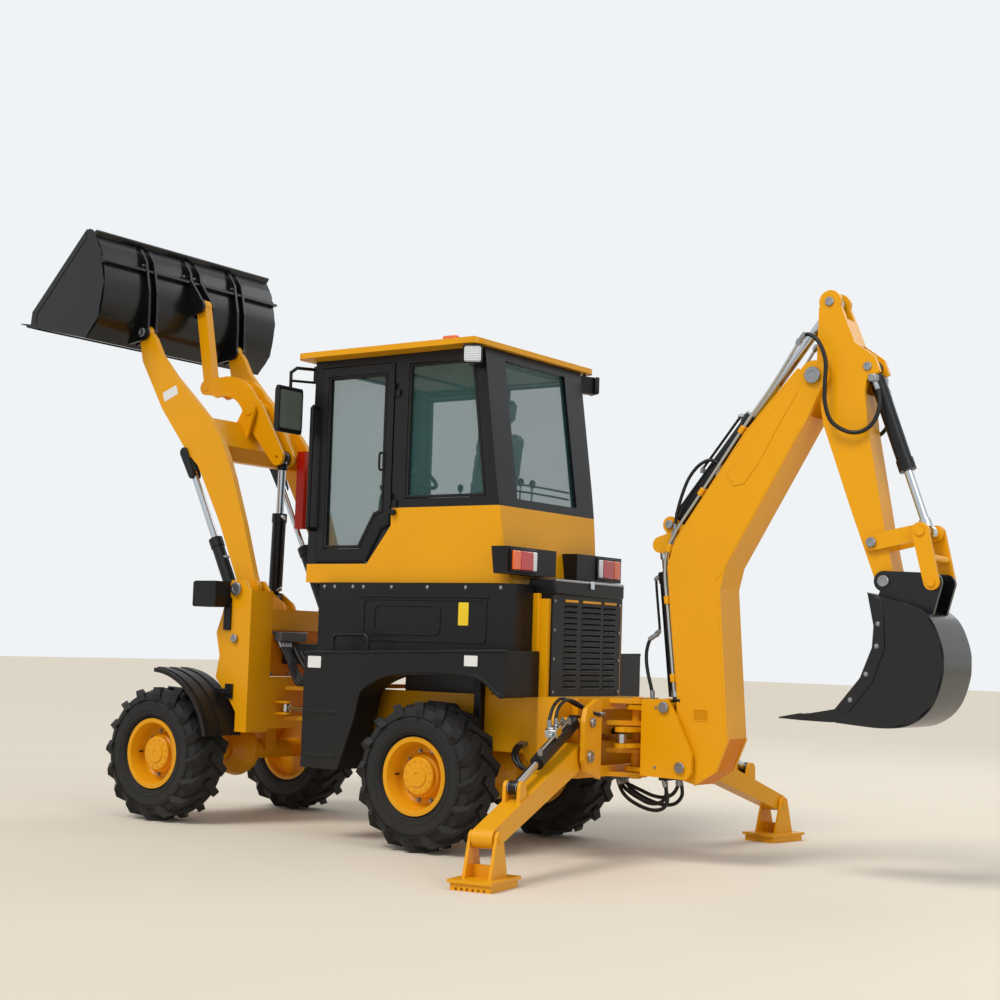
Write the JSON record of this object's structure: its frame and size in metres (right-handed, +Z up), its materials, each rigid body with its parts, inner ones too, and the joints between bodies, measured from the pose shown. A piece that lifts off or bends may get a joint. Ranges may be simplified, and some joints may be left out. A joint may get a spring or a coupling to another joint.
{
  "type": "backhoe loader",
  "caption": "Articulated backhoe loader with cab, raised loader arms and bucket, slewing backhoe with folded boom and dipper, spread stabilizers and four lugged tyres.",
  "frame": {"origin": "middle of the bounding box on the ground", "axes": "+X ahead towards the loader bucket, +Y to the left, +Z up"},
  "size_m": [6.255, 3.4152, 3.8],
  "materials": {
    "yellow_paint": "gloss",
    "black_paint": "gloss",
    "black_plastic": "satin",
    "red_paint": "gloss",
    "chrome": "polished",
    "glass": "clear",
    "grey_fabric": "matt",
    "cast": "rough",
    "lamp": "gloss",
    "tyre": "matt"
  },
  "bodies": {
    "rear_frame": {"rear_chassis": "yellow_paint", "rear_axle": "yellow_paint", "engine_block": "cast", "cab_body": "yellow_paint", "cab_pillars": "black_paint", "cab_roof": "yellow_paint", "cab_glass": "glass", "cab_seat": "grey_fabric", "rear_bodywork": "black_plastic", "rear_lamps": "lamp", "cab_fittings": "black_plastic", "swing_barrels": "black_paint"},
    "door_l": {"door_l": "black_paint", "door_glass_l": "glass"},
    "door_r": {"door_r": "black_paint", "door_glass_r": "glass"},
    "front_frame": {"front_chassis": "yellow_paint", "front_axle": "yellow_paint", "front_fittings": "black_plastic"},
    "wheel_fl": {"tyre_fl": "tyre", "rim_fl": "yellow_paint"},
    "wheel_fr": {"tyre_fr": "tyre", "rim_fr": "yellow_paint"},
    "wheel_rl": {"tyre_rl": "tyre", "rim_rl": "yellow_paint"},
    "wheel_rr": {"tyre_rr": "tyre", "rim_rr": "yellow_paint"},
    "loader_arm": {"loader_arm": "yellow_paint", "arm_prop": "red_paint"},
    "loader_bellcrank": {"loader_bellcrank": "yellow_paint"},
    "loader_link": {"loader_link": "yellow_paint"},
    "loader_bucket": {"loader_bucket": "black_paint"},
    "lift_barrels": {"lift_barrels": "black_paint"},
    "lift_rods": {"lift_rods": "chrome"},
    "tilt_barrel": {"tilt_barrel": "black_paint"},
    "tilt_rod": {"tilt_rod": "chrome"},
    "steer_barrel": {"steer_barrel": "black_paint"},
    "steer_rod": {"steer_rod": "chrome"},
    "swing_post": {"swing_post": "yellow_paint"},
    "hoe_boom": {"hoe_boom": "yellow_paint"},
    "hoe_dipper": {"hoe_dipper": "yellow_paint"},
    "hoe_bucket": {"hoe_bucket": "black_paint"},
    "hoe_rocker": {"hoe_rocker": "yellow_paint"},
    "hoe_link": {"hoe_link": "yellow_paint"},
    "boom_barrel": {"boom_barrel": "black_paint"},
    "boom_rod": {"boom_rod": "chrome"},
    "dipper_barrel": {"dipper_barrel": "black_paint"},
    "dipper_rod": {"dipper_rod": "chrome"},
    "bucket_barrel": {"bucket_barrel": "black_paint"},
    "bucket_rod": {"bucket_rod": "chrome"},
    "swing_rod_l": {"swing_rod_l": "chrome"},
    "swing_rod_r": {"swing_rod_r": "chrome"},
    "stab_leg_l": {"stab_leg_l": "yellow_paint"},
    "stab_leg_r": {"stab_leg_r": "yellow_paint"},
    "stab_foot_l": {"stab_foot_l": "yellow_paint"},
    "stab_foot_r": {"stab_foot_r": "yellow_paint"},
    "stab_barrel_l": {"stab_barrel_l": "black_paint"},
    "stab_barrel_r": {"stab_barrel_r": "black_paint"},
    "stab_rod_l": {"stab_rod_l": "chrome"},
    "stab_rod_r": {"stab_rod_r": "chrome"}
  },
  "joints": [
    {"name": "steer", "type": "hinge", "parent": "rear_frame", "child": "front_frame", "pos_m": [0.768, 0, 0.75], "axis": [0, 0, 1], "range_deg": [-35, 35]},
    {"name": "lift", "type": "hinge", "parent": "front_frame", "child": "loader_arm", "pos_m": [1.268, 0, 1.445], "axis": [0, 1, 0], "range_deg": [-3, 97]},
    {"name": "lift_barrel_turn", "type": "hinge", "parent": "front_frame", "child": "lift_barrels", "pos_m": [1.268, 0, 1.14], "axis": [0, 1, 0], "range_deg": [-3.67, 87.5]},
    {"name": "lift_rod_slide", "type": "slide", "parent": "lift_barrels", "child": "lift_rods", "axis": [0.4585, 0, 0.8887], "range_m": [-0.42044, 0.01688]},
    {"name": "tilt_barrel_turn", "type": "hinge", "parent": "front_frame", "child": "tilt_barrel", "pos_m": [1.448, 0, 1.4], "axis": [0, 1, 0], "range_deg": [-4.28, 106.89]},
    {"name": "tilt_rod_slide", "type": "slide", "parent": "tilt_barrel", "child": "tilt_rod", "axis": [-0.0215, 0, 0.9998], "range_m": [-0.24571, 0.01148]},
    {"name": "loader_tilt", "type": "hinge", "parent": "loader_arm", "child": "loader_bucket", "pos_m": [2.318, 0, 3.155], "axis": [0, 1, 0], "range_deg": [-80, 38]},
    {"name": "bellcrank_turn", "type": "hinge", "parent": "loader_arm", "child": "loader_bellcrank", "pos_m": [1.663, 0, 2.64], "axis": [0, 1, 0], "range_deg": [-13.76, 27.86]},
    {"name": "link_turn", "type": "hinge", "parent": "loader_bellcrank", "child": "loader_link", "pos_m": [2.108, 0, 2.827], "axis": [0, 1, 0], "range_deg": [-55.97, 27.11]},
    {"name": "steer_barrel_turn", "type": "hinge", "parent": "rear_frame", "child": "steer_barrel", "pos_m": [0.368, 0.25, 0.72], "axis": [0, 0, 1], "range_deg": [-16.31, 16.31]},
    {"name": "steer_rod_slide", "type": "slide", "parent": "steer_barrel", "child": "steer_rod", "axis": [1, 0, 0], "range_m": [-0.15445, 0.15445]},
    {"name": "wheel_fl_turn", "type": "hinge", "parent": "front_frame", "child": "wheel_fl", "pos_m": [1.735, 0.615, 0.415], "axis": [0, 1, 0], "continuous": true},
    {"name": "wheel_fr_turn", "type": "hinge", "parent": "front_frame", "child": "wheel_fr", "pos_m": [1.735, -0.615, 0.415], "axis": [0, 1, 0], "continuous": true},
    {"name": "wheel_rl_turn", "type": "hinge", "parent": "rear_frame", "child": "wheel_rl", "pos_m": [-0.332, 0.615, 0.415], "axis": [0, 1, 0], "continuous": true},
    {"name": "wheel_rr_turn", "type": "hinge", "parent": "rear_frame", "child": "wheel_rr", "pos_m": [-0.332, -0.615, 0.415], "axis": [0, 1, 0], "continuous": true},
    {"name": "swing", "type": "hinge", "parent": "rear_frame", "child": "swing_post", "pos_m": [-1.307, 0, 0.663], "axis": [0, 0, 1], "range_deg": [-60, 60]},
    {"name": "boom", "type": "hinge", "parent": "swing_post", "child": "hoe_boom", "pos_m": [-1.667, 0, 0.528], "axis": [0, 1, 0], "range_deg": [-70, 3]},
    {"name": "boom_barrel_turn", "type": "hinge", "parent": "swing_post", "child": "boom_barrel", "pos_m": [-1.562, 0, 0.842], "axis": [0, 1, 0], "range_deg": [-85.66, 4.63]},
    {"name": "boom_rod_slide", "type": "slide", "parent": "boom_barrel", "child": "boom_rod", "axis": [0.1148, 0, 0.9934], "range_m": [-0.01571, 0.27728]},
    {"name": "dipper", "type": "hinge", "parent": "hoe_boom", "child": "hoe_dipper", "pos_m": [-2.382, 0, 2.595], "axis": [0, 1, 0], "range_deg": [-1, 80]},
    {"name": "dipper_barrel_turn", "type": "hinge", "parent": "hoe_boom", "child": "dipper_barrel", "pos_m": [-1.522, 0, 1.835], "axis": [0, 1, 0], "range_deg": [-1.16, 13.66]},
    {"name": "dipper_rod_slide", "type": "slide", "parent": "dipper_barrel", "child": "dipper_rod", "axis": [-0.6288, 0, 0.7776], "range_m": [-0.43855, 0.00943]},
    {"name": "hoe_tilt", "type": "hinge", "parent": "hoe_dipper", "child": "hoe_bucket", "pos_m": [-2.777, 0, 1.526], "axis": [0, 1, 0], "range_deg": [-42, 60]},
    {"name": "rocker_turn", "type": "hinge", "parent": "hoe_dipper", "child": "hoe_rocker", "pos_m": [-2.71, 0, 1.722], "axis": [0, 1, 0], "range_deg": [-40.53, 57.48]},
    {"name": "hoe_link_turn", "type": "hinge", "parent": "hoe_rocker", "child": "hoe_link", "pos_m": [-2.972, 0, 1.775], "axis": [0, 1, 0], "range_deg": [-45.92, 32.45]},
    {"name": "bucket_barrel_turn", "type": "hinge", "parent": "hoe_dipper", "child": "bucket_barrel", "pos_m": [-2.667, 0, 2.628], "axis": [0, 1, 0], "range_deg": [-1.06, 1.04]},
    {"name": "bucket_rod_slide", "type": "slide", "parent": "bucket_barrel", "child": "bucket_rod", "axis": [-0.3367, 0, -0.9416], "range_m": [-0.23865, 0.16826]},
    {"name": "swing_rod_l_slide", "type": "slide", "parent": "rear_frame", "child": "swing_rod_l", "axis": [-1, 0, 0], "range_m": [-0.15882, 0.15882]},
    {"name": "swing_rod_r_slide", "type": "slide", "parent": "rear_frame", "child": "swing_rod_r", "axis": [-1, 0, 0], "range_m": [-0.15882, 0.15882]},
    {"name": "stab_l", "type": "hinge", "parent": "rear_frame", "child": "stab_leg_l", "pos_m": [-1.232, 0.54, 0.578], "axis": [0.9863, 0.165, 0], "range_deg": [-6, 68]},
    {"name": "foot_l_turn", "type": "hinge", "parent": "stab_leg_l", "child": "stab_foot_l", "pos_m": [-1.39742, 1.52854, 0.233], "axis": [0.9863, 0.165, 0], "range_deg": [-52, 5.5]},
    {"name": "stab_barrel_l_turn", "type": "hinge", "parent": "rear_frame", "child": "stab_barrel_l", "pos_m": [-1.2287, 0.52027, 0.755], "axis": [0.9863, 0.165, 0], "range_deg": [-6.96, 68.59]},
    {"name": "stab_rod_l_slide", "type": "slide", "parent": "stab_barrel_l", "child": "stab_rod_l", "axis": [-0.1521, 0.9091, -0.3879], "range_m": [-0.20352, 0.0216]},
    {"name": "stab_r", "type": "hinge", "parent": "rear_frame", "child": "stab_leg_r", "pos_m": [-1.232, -0.54, 0.578], "axis": [-0.9863, 0.165, 0], "range_deg": [-6, 68]},
    {"name": "foot_r_turn", "type": "hinge", "parent": "stab_leg_r", "child": "stab_foot_r", "pos_m": [-1.39742, -1.52854, 0.233], "axis": [-0.9863, 0.165, 0], "range_deg": [-52, 5.5]},
    {"name": "stab_barrel_r_turn", "type": "hinge", "parent": "rear_frame", "child": "stab_barrel_r", "pos_m": [-1.2287, -0.52027, 0.755], "axis": [-0.9863, 0.165, 0], "range_deg": [-6.96, 68.59]},
    {"name": "stab_rod_r_slide", "type": "slide", "parent": "stab_barrel_r", "child": "stab_rod_r", "axis": [-0.1521, -0.9091, -0.3879], "range_m": [-0.20352, 0.0216]},
    {"name": "door_l_turn", "type": "hinge", "parent": "rear_frame", "child": "door_l", "pos_m": [0.095, 0.514, 2.2], "axis": [0, 0, 1], "range_deg": [0, 85]},
    {"name": "door_r_turn", "type": "hinge", "parent": "rear_frame", "child": "door_r", "pos_m": [0.095, -0.514, 2.2], "axis": [0, 0, 1], "range_deg": [-85, 0]}
  ],
  "couplings": [
    {"joint": "lift_barrel_turn", "follows": "lift", "ratio": 0.89174},
    {"joint": "lift_rod_slide", "follows": "lift", "m_per_rad": -0.24598},
    {"joint": "tilt_barrel_turn", "follows": "lift", "ratio": 1.0917},
    {"joint": "tilt_rod_slide", "follows": "lift", "m_per_rad": -0.14277},
    {"joint": "bellcrank_turn", "follows": "loader_tilt", "ratio": -0.33575},
    {"joint": "link_turn", "follows": "loader_tilt", "ratio": 0.68714},
    {"joint": "steer_barrel_turn", "follows": "steer", "ratio": 0.43747},
    {"joint": "steer_rod_slide", "follows": "steer", "m_per_rad": -0.2463},
    {"joint": "boom_barrel_turn", "follows": "boom", "ratio": 1.2094},
    {"joint": "boom_rod_slide", "follows": "boom", "m_per_rad": -0.22368},
    {"joint": "dipper_barrel_turn", "follows": "dipper", "ratio": 0.15827},
    {"joint": "dipper_rod_slide", "follows": "dipper", "m_per_rad": -0.31122},
    {"joint": "rocker_turn", "follows": "hoe_tilt", "ratio": 0.94126},
    {"joint": "hoe_link_turn", "follows": "hoe_tilt", "ratio": -0.74876},
    {"joint": "bucket_barrel_turn", "follows": "hoe_tilt", "ratio": -0.001035},
    {"joint": "bucket_rod_slide", "follows": "hoe_tilt", "m_per_rad": -0.22407},
    {"joint": "swing_rod_l_slide", "follows": "swing", "m_per_rad": 0.14784},
    {"joint": "swing_rod_r_slide", "follows": "swing", "m_per_rad": -0.14784},
    {"joint": "foot_l_turn", "follows": "stab_l", "ratio": -0.75},
    {"joint": "stab_barrel_l_turn", "follows": "stab_l", "ratio": 0.99393},
    {"joint": "stab_rod_l_slide", "follows": "stab_l", "m_per_rad": -0.16811},
    {"joint": "foot_r_turn", "follows": "stab_r", "ratio": -0.75},
    {"joint": "stab_barrel_r_turn", "follows": "stab_r", "ratio": 0.99393},
    {"joint": "stab_rod_r_slide", "follows": "stab_r", "m_per_rad": -0.16811}
  ]
}
